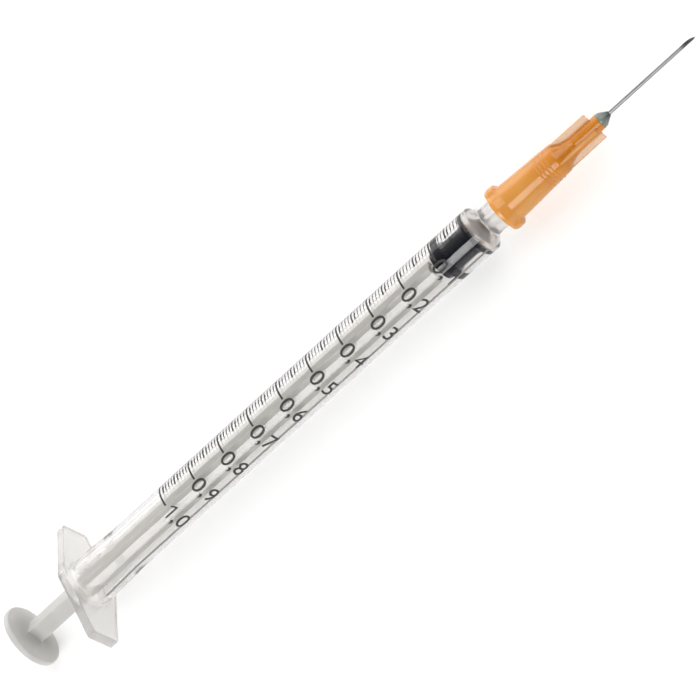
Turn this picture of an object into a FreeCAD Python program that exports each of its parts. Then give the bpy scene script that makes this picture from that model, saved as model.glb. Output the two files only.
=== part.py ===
import FreeCAD, Part
import math
import os

# Insulin syringe of 1 ml with its needle.
# The pieces are drawn lying along X, with the needle towards +X. Places along the
# syringe are counted from the zero mark of the printed scale, in millimetres.
# At the end each piece is set down on the surface that the finger flange rests on.

# Barrel
scale_length = 57.0
bore_radius = 2.365
barrel_radius = 3.3
shoulder_place = 0.97
shoulder_rounding = 0.30
nozzle_root_place = 2.04
nozzle_root_rounding = 0.30
nozzle_length = 8.0
nozzle_radius = 1.86
nozzle_bore_radius = 0.62
nozzle_tip_rounding = 0.15
luer_slope = 0.03

# Rear end of the barrel
stop_ring_margin = 11.1
stop_ring_height = 0.16
stop_ring_width = 0.7
stop_ring_slope = 0.25
rear_bore_extra = 0.13
flare_height = 0.29
flare_length = 2.2
flare_rounding = 2.0
barrel_tail = 6.5
lead_in_length = 4.0
lead_in_rise = 0.35
mouth_chamfer = 0.95

# Finger flange, a long hexagon with blunt tips
flange_thickness = 1.4
flange_reach = 10.1
flange_tip_width = 4.46
flange_middle_width = 10.1
flange_tip_rounding = 0.6
flange_middle_rounding = 2.0
flange_edge_rounding = 0.2
flange_root_rounding = 0.45

# Stopper
stopper_clearance = 0.02
front_lip_width = 0.7
front_lip_slope = 0.8
waist_depth = 0.29
waist_length = 2.55
rear_lip_slope = 0.45
rear_lip_width = 1.2
rear_chamfer_length = 0.95
rear_chamfer_depth = 0.35
nose_steepness = 1.12
nose_tip_radius = 1.1
nose_clearance = 0.12
stopper_rounding = 0.12

# Plunger rod and thumb disc
rod_side = 2.52
rod_corner_rounding = 0.35
rod_turn = 51.0
rod_gap_behind_stopper = 0.9
rod_neck_radius = 0.85
snap_head_radius = 1.3
snap_head_length = 2.3
snap_head_tip_radius = 0.7
snap_lip_length = 0.5
snap_cover = 1.2
snap_clearance = 0.05
rod_stand_off = 9.9
thumb_radius = 4.8
thumb_rim_thickness = 0.95
thumb_dome = 0.55
thumb_dish_depth = 0.2
thumb_dish_rim = 0.8
thumb_rounding = 0.3

# Needle hub
hub_clearance = 0.03
hub_gap = 2.36
collar_radius = 2.95
collar_width = 0.9
collar_rounding = 0.15
hub_radius = 2.64
hub_shoulder_length = 0.6
hub_body_length = 9.0
hub_body_end_rounding = 0.8
hub_taper = 0.049
hub_waist_length = 2.7
hub_waist_drop = 1.1
hub_waist_radius = 1.5
hub_waist_rounding = 2.5
hub_neck_radius = 1.14
hub_neck_rounding = 3.0
hub_neck_length = 4.4
hub_neck_slope = 0.012
socket_spare = 1.85
socket_floor_length = 1.0
lug_radius = 3.22
lug_spread = 64.0
lug_lead = 0.3
lug_length = 1.4
lug_slope = 0.33
lug_root_depth = 0.35
lug_direction = 31.0
fin_count = 4
fin_thickness = 0.32
fin_setback = 1.0
fin_root_depth = 0.3
fin_end_radius = 2.15
fin_direction = 51.0
ridge_count = 4
ridge_pitch = 0.55
ridge_height = 0.05
ridge_width = 0.24
ridge_setback = 2.9
ridge_root_depth = 0.1

# Needle tube and its adhesive
needle_radius = 0.255
needle_bore_radius = 0.13
needle_length = 16.06
bevel_length = 2.1
bevel_direction = 90.0
lancet_turn = 38.0
lancet_length = 1.2
needle_seat_gap = 0.01
adhesive_radius = 1.04
adhesive_shoulder = 0.3
adhesive_rounding = 0.15
adhesive_length = 1.5
adhesive_tip_thickness = 0.04

# How far a cutting shape reaches past what it cuts, and how near two edges are the same one
through = 1.0
same_place = 0.01

X_AXIS = FreeCAD.Vector(1, 0, 0)
CENTRE = FreeCAD.Vector(0, 0, 0)

# Places that follow from the sizes above
nozzle_tip_place = nozzle_root_place + nozzle_length
nozzle_root_radius = nozzle_radius + luer_slope * nozzle_length
stop_ring_place = -(scale_length + stop_ring_margin)
stop_ring_radius = bore_radius - stop_ring_height
flange_front_place = stop_ring_place - barrel_tail
flange_rear_place = flange_front_place - flange_thickness
flare_radius = barrel_radius + flare_height
rear_bore_radius = bore_radius + rear_bore_extra
flange_slope = math.atan((flange_middle_width - flange_tip_width) / 2 / flange_reach)
axis_height = flange_middle_width / 2 * math.cos(flange_slope)
lip_radius = bore_radius - stopper_clearance
waist_radius = lip_radius - waist_depth
front_slope_place = -front_lip_width
waist_front_place = front_slope_place - front_lip_slope
waist_rear_place = waist_front_place - waist_length
rear_lip_front_place = waist_rear_place - rear_lip_slope
rear_lip_rear_place = rear_lip_front_place - rear_lip_width
stopper_rear_place = rear_lip_rear_place - rear_chamfer_length
nose_length = (lip_radius - nose_tip_radius) / nose_steepness
snap_rear_place = stopper_rear_place + snap_cover
snap_front_place = snap_rear_place + snap_head_length
rod_front_place = stopper_rear_place - rod_gap_behind_stopper
thumb_front_place = flange_rear_place - rod_stand_off
thumb_rim_place = thumb_front_place - thumb_dome
thumb_rear_place = thumb_rim_place - thumb_rim_thickness
hub_rear_place = nozzle_root_place + hub_gap
hub_body_place = hub_rear_place + collar_width + hub_shoulder_length
hub_waist_place = hub_body_place + hub_body_length
hub_neck_place = hub_waist_place + hub_waist_length
hub_end_place = hub_neck_place + hub_neck_length
hub_end_radius = hub_neck_radius - hub_neck_slope * hub_neck_length
fin_end_place = hub_end_place - fin_setback
fin_root_place = hub_waist_place - fin_root_depth
ridge_start_place = hub_waist_place - ridge_setback
needle_seat_radius = needle_radius + needle_seat_gap
socket_end_place = nozzle_tip_place + socket_spare
needle_rear_place = socket_end_place + socket_floor_length
needle_tip_place = hub_end_place + needle_length
middle_place = (needle_tip_place + thumb_rear_place) / 2


def nozzle_radius_at(place):
    """Outer radius of the tapered nozzle at a place along the syringe."""
    return nozzle_radius + luer_slope * (nozzle_tip_place - place)


def hub_radius_at(place):
    """Outer radius of the tapered hub body at a place along the syringe."""
    return hub_radius - hub_taper * (place - hub_body_place)


def across_x(u, v):
    """Point of an outline that is drawn square to the syringe."""
    return FreeCAD.Vector(0, u, v)


def along_x(u, v):
    """Point of an outline that is turned about the syringe's axis."""
    return FreeCAD.Vector(u, 0, v)


def rounded_wire(corners, to_space):
    """Closed wire through corners (u, v, rounding), with a tangent arc at each rounded one."""
    legs = []
    for number, (u, v, rounding) in enumerate(corners):
        here = to_space(u, v)
        before = to_space(*corners[number - 1][:2])
        after = to_space(*corners[(number + 1) % len(corners)][:2])
        back = (before - here).normalize()
        ahead = (after - here).normalize()
        if rounding == 0:
            legs.append((here, None, here))
            continue
        half_angle = back.getAngle(ahead) / 2
        trim = rounding / math.tan(half_angle)
        inward = (back + ahead).normalize()
        middle = here + inward * (rounding / math.sin(half_angle) - rounding)
        legs.append((here + back * trim, middle, here + ahead * trim))
    edges = []
    for number, (start, middle, end) in enumerate(legs):
        if middle is not None:
            edges.append(Part.Arc(start, middle, end).toShape())
        next_start = legs[(number + 1) % len(legs)][0]
        edges.append(Part.LineSegment(end, next_start).toShape())
    return Part.Wire(edges)


def turned(corners, angle=360):
    """Solid made by turning an outline (place, radius, rounding) about the syringe's axis."""
    face = Part.Face(rounded_wire(corners, along_x))
    solid = face.revolve(CENTRE, X_AXIS, angle)
    return solid if solid.Volume > 0 else solid.reversed()


def cylinder(radius, start, end):
    """Cylinder on the syringe's axis between two places."""
    return Part.makeCylinder(radius, end - start, FreeCAD.Vector(start, 0, 0), X_AXIS)


def turn(shape, angle):
    """Copy of a shape, turned about the syringe's axis by an angle in degrees."""
    copy = shape.copy()
    copy.rotate(CENTRE, X_AXIS, angle)
    return copy


def make_flange():
    """Finger flange with its two sides' lower and upper edges level with the table."""
    tip = flange_tip_width / 2
    middle = flange_middle_width / 2
    outline = [
        (0, middle, flange_middle_rounding),
        (flange_reach, tip, flange_tip_rounding),
        (flange_reach, -tip, flange_tip_rounding),
        (0, -middle, flange_middle_rounding),
        (-flange_reach, -tip, flange_tip_rounding),
        (-flange_reach, tip, flange_tip_rounding),
    ]
    face = Part.Face(rounded_wire(outline, across_x))
    face.translate(FreeCAD.Vector(flange_rear_place, 0, 0))
    plate = face.extrude(FreeCAD.Vector(flange_thickness, 0, 0))
    rims = []
    for edge in plate.Edges:
        if edge.BoundBox.XLength < flange_thickness / 2:
            rims.append(edge)
    plate = plate.makeFillet(flange_edge_rounding, rims)
    return turn(plate, -math.degrees(flange_slope))


def make_barrel():
    """Barrel, finger flange and nozzle, which are one moulding."""
    outside = turned([
        (flange_rear_place + flange_thickness / 2, 0, 0),
        (flange_rear_place + flange_thickness / 2, flare_radius, 0),
        (stop_ring_place - flare_length, flare_radius, flare_rounding),
        (stop_ring_place, barrel_radius, flare_rounding),
        (shoulder_place, barrel_radius, shoulder_rounding),
        (nozzle_root_place, nozzle_root_radius, nozzle_root_rounding),
        (nozzle_tip_place, nozzle_radius, nozzle_tip_rounding),
        (nozzle_tip_place, 0, 0),
    ])
    body = outside.fuse(make_flange())
    root = []
    for edge in body.Edges:
        level = edge.BoundBox.XLength < same_place
        at_front = abs(edge.BoundBox.XMax - flange_front_place) < same_place
        round_barrel = abs(edge.BoundBox.ZMax - flare_radius) < same_place
        if level and at_front and round_barrel:
            root.append(edge)
    body = body.makeFillet(flange_root_rounding, root)
    nose_start = nose_clearance
    nose_end = nose_start + (bore_radius - nozzle_bore_radius) / nose_steepness
    mouth_place = flange_rear_place + mouth_chamfer
    lead_radius = rear_bore_radius + lead_in_rise
    mouth_radius = lead_radius + mouth_chamfer
    ring_end = stop_ring_place - stop_ring_width
    inside = turned([
        (flange_rear_place - through, 0, 0),
        (flange_rear_place - through, mouth_radius + through, 0),
        (flange_rear_place, mouth_radius, 0),
        (mouth_place, lead_radius, 0),
        (flange_rear_place + lead_in_length, rear_bore_radius, 0),
        (ring_end - stop_ring_slope, rear_bore_radius, 0),
        (ring_end, stop_ring_radius, 0),
        (stop_ring_place - stop_ring_slope, stop_ring_radius, 0),
        (stop_ring_place, bore_radius, 0),
        (nose_start, bore_radius, 0),
        (nose_end, nozzle_bore_radius, 0),
        (nozzle_tip_place + through, nozzle_bore_radius, 0),
        (nozzle_tip_place + through, 0, 0),
    ])
    return body.cut(inside)


def make_stopper():
    """Rubber stopper with two lips, a waist and a snap pocket for the rod."""
    outside = turned([
        (stopper_rear_place, 0, 0),
        (stopper_rear_place, lip_radius - rear_chamfer_depth, stopper_rounding),
        (rear_lip_rear_place, lip_radius, 0),
        (rear_lip_front_place, lip_radius, stopper_rounding),
        (waist_rear_place, waist_radius, stopper_rounding),
        (waist_front_place, waist_radius, stopper_rounding),
        (front_slope_place, lip_radius, stopper_rounding),
        (0, lip_radius, 0),
        (nose_length, nose_tip_radius, stopper_rounding),
        (nose_length, 0, 0),
    ])
    gap = snap_clearance
    pocket = turned([
        (stopper_rear_place - through, 0, 0),
        (stopper_rear_place - through, rod_neck_radius + gap, 0),
        (snap_rear_place - gap, rod_neck_radius + gap, 0),
        (snap_rear_place - gap, snap_head_radius + gap, 0),
        (snap_rear_place + snap_lip_length + gap, snap_head_radius + gap, 0),
        (snap_front_place + gap, snap_head_tip_radius + gap, 0),
        (snap_front_place + gap, 0, 0),
    ])
    return outside.cut(pocket)


def make_plunger_rod():
    """Square rod with a thumb disc behind and a snap head in front."""
    half = rod_side / 2
    section = [
        (half, half, rod_corner_rounding),
        (half, -half, rod_corner_rounding),
        (-half, -half, rod_corner_rounding),
        (-half, half, rod_corner_rounding),
    ]
    face = Part.Face(rounded_wire(section, across_x))
    face.translate(FreeCAD.Vector(thumb_rim_place, 0, 0))
    bar = face.extrude(FreeCAD.Vector(rod_front_place - thumb_rim_place, 0, 0))
    bar = turn(bar, rod_turn)
    disc = turned([
        (thumb_rear_place + thumb_dish_depth, 0, 0),
        (thumb_rear_place + thumb_dish_depth, thumb_radius - thumb_dish_rim, 0),
        (thumb_rear_place, thumb_radius - thumb_dish_rim + thumb_dish_depth, 0),
        (thumb_rear_place, thumb_radius, thumb_rounding),
        (thumb_rim_place, thumb_radius, thumb_rounding),
        (thumb_front_place, half, 0),
        (thumb_front_place, 0, 0),
    ])
    head = turned([
        (rod_front_place - half, 0, 0),
        (rod_front_place - half, rod_neck_radius, 0),
        (snap_rear_place, rod_neck_radius, 0),
        (snap_rear_place, snap_head_radius, 0),
        (snap_rear_place + snap_lip_length, snap_head_radius, 0),
        (snap_front_place, snap_head_tip_radius, 0),
        (snap_front_place, 0, 0),
    ])
    return bar.fuse([disc, head]).removeSplitter()


def make_lugs():
    """Two opposite lugs on the hub's collar, for a nozzle that has a locking thread."""
    start = hub_rear_place + lug_lead
    root_radius = hub_radius - lug_root_depth
    lug = turned([
        (start, root_radius, 0),
        (start + lug_slope, lug_radius, 0),
        (start + lug_length - lug_slope, lug_radius, 0),
        (start + lug_length, root_radius, 0),
    ], lug_spread)
    # An outline starts on the side that faces up, which is a quarter turn from the Y axis
    first = turn(lug, lug_direction - 90 - lug_spread / 2)
    return [first, turn(first, 180)]


def make_fins():
    """Thin fins along the hub's neck, cut to the line of its cone."""
    cone = turned([
        (fin_root_place, 0, 0),
        (fin_root_place, hub_radius_at(fin_root_place), 0),
        (fin_end_place, fin_end_radius, 0),
        (fin_end_place, 0, 0),
    ])
    fins = []
    for number in range(fin_count):
        corner = FreeCAD.Vector(fin_root_place, hub_end_radius / 2, -fin_thickness / 2)
        blade = Part.makeBox(fin_end_place - fin_root_place, hub_radius, fin_thickness, corner)
        fins.append(turn(blade, fin_direction + number * 360 / fin_count).common(cone))
    return fins


def make_ridges():
    """Fine rings round the hub's body."""
    ridges = []
    for number in range(ridge_count):
        place = ridge_start_place + number * ridge_pitch
        radius = hub_radius_at(place)
        ridges.append(turned([
            (place - ridge_width / 2, radius - ridge_root_depth, 0),
            (place - ridge_width / 2, radius, 0),
            (place, radius + ridge_height, 0),
            (place + ridge_width / 2, radius, 0),
            (place + ridge_width / 2, radius - ridge_root_depth, 0),
        ]))
    return ridges


def make_needle_hub():
    """Hub with its tapered socket, collar, lugs, ridges and fins, which are one moulding."""
    outside = turned([
        (hub_rear_place, 0, 0),
        (hub_rear_place, collar_radius, collar_rounding),
        (hub_rear_place + collar_width, collar_radius, collar_rounding),
        (hub_body_place, hub_radius, 0),
        (hub_waist_place, hub_radius_at(hub_waist_place), hub_body_end_rounding),
        (hub_waist_place + hub_waist_drop, hub_waist_radius, hub_waist_rounding),
        (hub_neck_place, hub_neck_radius, hub_neck_rounding),
        (hub_end_place, hub_end_radius, 0),
        (hub_end_place, 0, 0),
    ])
    body = outside.fuse(make_lugs() + make_fins() + make_ridges())
    mouth = hub_rear_place - through
    socket = turned([
        (mouth, 0, 0),
        (mouth, nozzle_radius_at(mouth) + hub_clearance, 0),
        (socket_end_place, nozzle_radius_at(socket_end_place) + hub_clearance, 0),
        (needle_rear_place, needle_seat_radius, 0),
        (hub_end_place + through, needle_seat_radius, 0),
        (hub_end_place + through, 0, 0),
    ])
    return body.cut(socket)


def make_bevel_cutter(length, tip):
    """Wedge above a slanting plane that meets the needle's underside at a place."""
    outline = Part.makePolygon([
        along_x(tip, -needle_radius),
        along_x(tip + through, -needle_radius),
        along_x(tip + through, needle_radius + through),
        along_x(tip - length - length * through / needle_radius / 2, needle_radius + through),
        along_x(tip, -needle_radius),
    ])
    face = Part.Face(outline)
    face.translate(FreeCAD.Vector(0, -through, 0))
    return face.extrude(FreeCAD.Vector(0, 2 * through, 0))


def make_needle_tube():
    """Steel tube with a long bevel and two short facets that make its point."""
    tube = cylinder(needle_radius, needle_rear_place, needle_tip_place)
    tube = tube.cut(cylinder(needle_bore_radius, needle_rear_place - through, needle_tip_place + through))
    tube = tube.cut(make_bevel_cutter(bevel_length, needle_tip_place))
    facet_lead = lancet_length * (1 - math.cos(math.radians(lancet_turn))) / 2
    facet = make_bevel_cutter(lancet_length, needle_tip_place + facet_lead)
    tube = tube.cut([turn(facet, lancet_turn), turn(facet, -lancet_turn)])
    return turn(tube, bevel_direction - 90)


def make_adhesive_bead():
    """Cone of adhesive that holds the needle tube in the hub's end."""
    return turned([
        (hub_end_place, needle_radius, 0),
        (hub_end_place, adhesive_radius, 0),
        (hub_end_place + adhesive_shoulder, adhesive_radius, adhesive_rounding),
        (hub_end_place + adhesive_length, needle_radius + adhesive_tip_thickness, 0),
        (hub_end_place + adhesive_length, needle_radius, 0),
    ])


pieces = {
    "barrel": make_barrel(),
    "stopper": make_stopper(),
    "plunger_rod": make_plunger_rod(),
    "needle_hub": make_needle_hub(),
    "needle_tube": make_needle_tube(),
    "adhesive_bead": make_adhesive_bead(),
}

os.makedirs("parts", exist_ok=True)
for name, shape in pieces.items():
    shape.translate(FreeCAD.Vector(-middle_place, 0, axis_height))
    shape.exportStep("parts/" + name + ".step")
    print(name, "solids", len(shape.Solids), "valid", shape.isValid(), "volume", round(shape.Volume, 3))

stroke = stop_ring_place - rear_lip_rear_place
print("axis height", round(axis_height, 4), "zero mark at", round(-middle_place, 4))
print("stopper travel", round(-stroke, 3), "overall", round(needle_tip_place - thumb_rear_place, 3))
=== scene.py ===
# %% [markdown]
# # An insulin syringe in Blender
# The CAD model gives this syringe its sizes, its six solids and its moving bodies. This script
# gives it its looks: smooth turned shapes, a printed scale, clear, milky and orange plastic,
# rubber, steel and adhesive, a pale floor, soft lights and a camera. Each step says first what
# the piece is on the real object, then how it could be made, and why this way was chosen.

# %% Load the frame
import math

import bmesh
import bpy
from mathutils import Matrix, Vector


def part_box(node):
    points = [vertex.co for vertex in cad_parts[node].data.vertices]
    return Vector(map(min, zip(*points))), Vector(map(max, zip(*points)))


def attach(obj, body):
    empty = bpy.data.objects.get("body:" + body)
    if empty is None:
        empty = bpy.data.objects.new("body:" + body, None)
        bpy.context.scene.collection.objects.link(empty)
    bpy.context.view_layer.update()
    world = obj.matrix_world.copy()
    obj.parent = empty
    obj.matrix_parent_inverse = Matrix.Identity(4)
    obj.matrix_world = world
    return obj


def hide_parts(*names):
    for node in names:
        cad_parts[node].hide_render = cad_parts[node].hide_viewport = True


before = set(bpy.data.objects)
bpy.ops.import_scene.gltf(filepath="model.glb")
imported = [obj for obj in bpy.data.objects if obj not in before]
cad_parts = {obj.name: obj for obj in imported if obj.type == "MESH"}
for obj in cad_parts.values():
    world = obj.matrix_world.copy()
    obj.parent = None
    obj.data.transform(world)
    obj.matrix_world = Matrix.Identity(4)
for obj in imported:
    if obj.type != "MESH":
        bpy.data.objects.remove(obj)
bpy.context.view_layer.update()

# %% [markdown]
# ## Where things are
# Blender works in metres here, in the same frame as the CAD. A syringe is easier to think of in
# millimetres along its own scale, so every place below is counted from the zero mark, positive
# towards the needle. Two numbers take such a place to the frame: where the zero mark is along X,
# and how high the axis lies. Both are read from the CAD barrel's box, so they can't drift.

# %% Zero mark and axis
MM = 0.001
nozzle_tip_place = 10.04
barrel_low, barrel_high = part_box("barrel")
zero_x = barrel_high[0] - nozzle_tip_place * MM
axis_height = (barrel_low[2] + barrel_high[2]) / 2
print("zero mark at", round(zero_x / MM, 3), "mm, axis at", round(axis_height / MM, 3), "mm")

# %% [markdown]
# ## Turned pieces
# Barrel, stopper, rod, hub and adhesive are all turned shapes: one outline, spun round one axis.
# A Screw or Spin could make each. Geometry Nodes fit better, because one small tree serves them
# all and three of them are not quite round: the finger flange is a long hexagon, the rod is a
# square bar, and the hub's collar has two lugs. So the tree also has a rule. Every point of the
# outline carries a number called reach. Where it is 0 the ring stays round, and where it is 1
# the ring is pulled out or in to a polygon with two slanting sides and two ends, mirrored both
# ways, with the lugs on top. The polygon's radius at an angle is a smooth minimum of two lines,
# which rounds its corners too.

# %% A small helper for node trees
def tree_with(name, numbers):
    """New Geometry Nodes tree with a geometry input, numbered inputs, a material and an output."""
    tree = bpy.data.node_groups.new(name, "GeometryNodeTree")
    sockets = tree.interface
    sockets.new_socket("Geometry", in_out="INPUT", socket_type="NodeSocketGeometry")
    for label, value in numbers.items():
        kind = "NodeSocketInt" if isinstance(value, int) else "NodeSocketFloat"
        sockets.new_socket(label, in_out="INPUT", socket_type=kind).default_value = value
    sockets.new_socket("Material", in_out="INPUT", socket_type="NodeSocketMaterial")
    sockets.new_socket("Geometry", in_out="OUTPUT", socket_type="NodeSocketGeometry")
    return tree, tree.nodes.new("NodeGroupInput"), tree.nodes.new("NodeGroupOutput")


def node(tree, kind, inputs=None, **settings):
    """New node of a tree. An input is given a value, or a socket that is linked to it."""
    made = tree.nodes.new(kind)
    for name, value in settings.items():
        setattr(made, name, value)
    for name, value in (inputs or {}).items():
        if isinstance(value, bpy.types.NodeSocket):
            tree.links.new(value, made.inputs[name])
        else:
            made.inputs[name].default_value = value
    return made


def maths(tree, operation, a, b=0.0, c=0.0):
    """Output of one Math node."""
    return node(tree, "ShaderNodeMath", {0: a, 1: b, 2: c}, operation=operation).outputs[0]


def end_tree(tree, group_input, group_output, geometry):
    """Realize what a tree made, give it its material and send it out."""
    real = node(tree, "GeometryNodeRealizeInstances", {"Geometry": geometry})
    painted = node(tree, "GeometryNodeSetMaterial",
                   {"Geometry": real.outputs[0], "Material": group_input.outputs["Material"]})
    tree.links.new(painted.outputs[0], group_output.inputs["Geometry"])

# %% The tree that turns an outline
turning, inlet, outlet = tree_with("turned_piece", {
    "Segments": 192, "Axis height": 0.0, "Drawn radius": 1.0, "Side distance": 1.0,
    "Side slope": 0.0, "End distance": 1.0, "Corner softness": 0.0, "Turn": 0.0, "Lug height": 0.0})
outline = node(turning, "GeometryNodeMeshToCurve", {"Mesh": inlet.outputs["Geometry"]})
circle = node(turning, "GeometryNodeCurvePrimitiveCircle",
              {"Resolution": inlet.outputs["Segments"], "Radius": MM})
skin = node(turning, "GeometryNodeCurveToMesh",
            {"Curve": circle.outputs["Curve"], "Profile Curve": outline.outputs["Curve"]})
laid = node(turning, "GeometryNodeTransform",
            {"Geometry": skin.outputs[0], "Rotation": (0.0, math.radians(-90), 0.0)})
closed = node(turning, "GeometryNodeMergeByDistance",
              {"Geometry": laid.outputs[0], "Distance": 1e-7})
print("turned_piece has", len(turning.nodes), "nodes so far")

# %% The rule for rings that are not round
place = node(turning, "ShaderNodeSeparateXYZ", {0: node(turning, "GeometryNodeInputPosition").outputs[0]})
radius = maths(turning, "SQRT", maths(turning, "ADD",
               maths(turning, "MULTIPLY", place.outputs[1], place.outputs[1]),
               maths(turning, "MULTIPLY", place.outputs[2], place.outputs[2])))
angle = maths(turning, "SUBTRACT",
              maths(turning, "ARCTAN2", place.outputs[2], place.outputs[1]), inlet.outputs["Turn"])
across = maths(turning, "SINE", angle)
along = maths(turning, "COSINE", angle)
# A square root with a little added under it is an absolute value without a kink
along_part = maths(turning, "SQRT", maths(turning, "ADD", maths(turning, "MULTIPLY", along, along), 1e-4))
across_part = maths(turning, "SQRT", maths(turning, "ADD", maths(turning, "MULTIPLY", across, across), 1e-6))
slant = inlet.outputs["Side slope"]
to_side = maths(turning, "DIVIDE", inlet.outputs["Side distance"], maths(turning, "ADD",
                maths(turning, "MULTIPLY", along_part, maths(turning, "SINE", slant)),
                maths(turning, "MULTIPLY", across_part, maths(turning, "COSINE", slant))))
to_end = maths(turning, "DIVIDE", inlet.outputs["End distance"], along_part)
polygon = maths(turning, "SMOOTH_MIN", to_side, to_end, inlet.outputs["Corner softness"])
reach = node(turning, "GeometryNodeInputNamedAttribute", {"Name": "reach"}, data_type="FLOAT")
# A lug rises within 40 degrees of either end and is whole within 25
lug = node(turning, "ShaderNodeMapRange", {
    "Value": along_part, "From Min": math.cos(math.radians(40)), "From Max": math.cos(math.radians(25)),
    "To Min": 0.0, "To Max": inlet.outputs["Lug height"]}, interpolation_type="SMOOTHSTEP")
growth = maths(turning, "MULTIPLY", reach.outputs[0], maths(turning, "ADD", lug.outputs[0],
               maths(turning, "SUBTRACT", polygon, inlet.outputs["Drawn radius"])))
share = maths(turning, "DIVIDE", maths(turning, "ADD", radius, growth),
              maths(turning, "MAXIMUM", radius, 1e-7))
new_place = node(turning, "ShaderNodeCombineXYZ", {
    0: place.outputs[0],
    1: maths(turning, "MULTIPLY", place.outputs[1], share),
    2: maths(turning, "ADD", maths(turning, "MULTIPLY", place.outputs[2], share),
             inlet.outputs["Axis height"])})
shaped = node(turning, "GeometryNodeSetPosition",
              {"Geometry": closed.outputs[0], "Position": new_place.outputs[0]})
end_tree(turning, inlet, outlet, shaped.outputs[0])
print("turned_piece has", len(turning.nodes), "nodes")

# %% [markdown]
# ## Outlines with real edges
# No moulded edge is perfectly sharp, and it is the small radius that catches the light. The
# helper below takes an outline as corners, each with its own rounding, and returns points with
# an arc at each corner. It also puts a point close to each end of every straight run. Smooth
# shading blends the direction of neighbouring faces, and those extra points keep the blend
# short, so that long flat walls stay flat.

# %% From corners to an outline
def with_arcs(corners, closed_outline, steps=5, hold=0.05):
    """Points (place, radius, reach) of an outline given as corners (place, radius, rounding, reach)."""
    corners = [tuple(c) + (0,) * (4 - len(c)) for c in corners]
    count = len(corners)
    legs = []
    for number, (x, r, rounding, stretch) in enumerate(corners):
        here = Vector((x, r))
        if rounding == 0 or (not closed_outline and number in (0, count - 1)):
            legs.append(([here], stretch))
            continue
        back = (Vector(corners[number - 1][:2]) - here).normalized()
        ahead = (Vector(corners[(number + 1) % count][:2]) - here).normalized()
        half_angle = back.angle(ahead) / 2
        centre = here + (back + ahead).normalized() * (rounding / math.sin(half_angle))
        start = here + back * (rounding / math.tan(half_angle)) - centre
        end = here + ahead * (rounding / math.tan(half_angle)) - centre
        sweep = start.angle_signed(end)
        arc = [centre + Matrix.Rotation(-sweep * k / steps, 2) @ start for k in range(steps + 1)]
        legs.append((arc, stretch))
    points = []
    for number, (arc, stretch) in enumerate(legs):
        points += [(p.x, p.y, stretch) for p in arc]
        if number == count - 1 and not closed_outline:
            break
        next_arc, next_stretch = legs[(number + 1) % count]
        run = next_arc[0] - arc[-1]
        if run.length > 4 * hold:
            near = arc[-1] + run.normalized() * hold
            far = next_arc[0] - run.normalized() * hold
            points += [(near.x, near.y, stretch), (far.x, far.y, next_stretch)]
    return points


def outline_object(name, points, closed_outline):
    """Object that holds an outline as a chain of edges, as the turning tree expects it."""
    mesh = bpy.data.meshes.new(name)
    corners = [(r * MM - MM, zero_x + x * MM, 0) for x, r, _ in points]
    edges = [(i, i + 1) for i in range(len(points) - 1)]
    if closed_outline:
        edges.append((len(points) - 1, 0))
    mesh.from_pydata(corners, edges, [])
    stretch = mesh.attributes.new("reach", "FLOAT", "POINT")
    stretch.data.foreach_set("value", [p[2] for p in points])
    piece = bpy.data.objects.new(name, mesh)
    bpy.context.scene.collection.objects.link(piece)
    return piece

# %% Run a tree and keep its mesh
def grow(piece, tree, **values):
    """Run a tree on a piece with named inputs, and leave the piece as a plain mesh."""
    modifier = piece.modifiers.new(tree.name, "NODES")
    modifier.node_group = tree
    for item in tree.interface.items_tree:
        label = item.name.replace(" ", "_").lower()
        if item.in_out == "INPUT" and label in values:
            modifier[item.identifier] = values[label]
    shaped_mesh = bpy.data.meshes.new_from_object(
        piece.evaluated_get(bpy.context.evaluated_depsgraph_get()))
    piece.modifiers.clear()
    piece.data = shaped_mesh
    return piece


def turned(name, corners, material, closed_outline=False, **values):
    """Piece turned from an outline of corners."""
    piece = outline_object(name, with_arcs(corners, closed_outline), closed_outline)
    return grow(piece, turning, axis_height=axis_height, material=material, **values)


def settle(piece, body, slot, *cad_nodes, crisp=32):
    """Point the faces outwards, shade them, and hand the piece to its CAD body."""
    work = bmesh.new()
    work.from_mesh(piece.data)
    bmesh.ops.remove_doubles(work, verts=work.verts, dist=1e-8)
    bmesh.ops.recalc_face_normals(work, faces=work.faces)
    work.to_mesh(piece.data)
    open_edges = sum(1 for e in work.edges if len(e.link_faces) != 2)
    work.free()
    piece.data.shade_smooth()
    piece.data.set_sharp_from_angle(angle=math.radians(crisp))
    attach(piece, body)
    if cad_nodes:
        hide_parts(*cad_nodes)
    print(piece.name, len(piece.data.polygons), "faces, open edges", open_edges)

# %% [markdown]
# ## Finishes
# Each finish is a Principled shader with nodes for what a plain colour lacks: the faint flow
# lines of a moulding, the haze of a milky plastic, the grain of rubber, the drawing lines of
# steel. A noise on Object coordinates gives them, since every piece keeps its place in its mesh.
# Numbers that are the same all over go straight on the shader's own sockets.

# %% Helpers for finishes
def finish(name, **sockets):
    """New material, its node tree and its Principled shader."""
    material = bpy.data.materials.new(name)
    material.use_nodes = True
    tree = material.node_tree
    shader = tree.nodes["Principled BSDF"]
    for label, value in sockets.items():
        shader.inputs[label.replace("_", " ")].default_value = value
    return material, tree, shader


def grain(tree, scale, stretch=(1.0, 1.0, 1.0), detail=3.0):
    """Noise on Object coordinates: its value socket. Scale is in blobs per metre."""
    spot = node(tree, "ShaderNodeTexCoord").outputs["Object"]
    mapped = node(tree, "ShaderNodeMapping", {"Vector": spot, "Scale": stretch}).outputs[0]
    noise = node(tree, "ShaderNodeTexNoise", {"Vector": mapped, "Scale": scale, "Detail": detail})
    return noise.outputs["Fac"]


def vector_maths(tree, operation, a, b=(0.0, 0.0, 0.0), result="Vector"):
    """Output of one Vector Math node."""
    return node(tree, "ShaderNodeVectorMath", {0: a, 1: b}, operation=operation).outputs[result]


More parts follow.
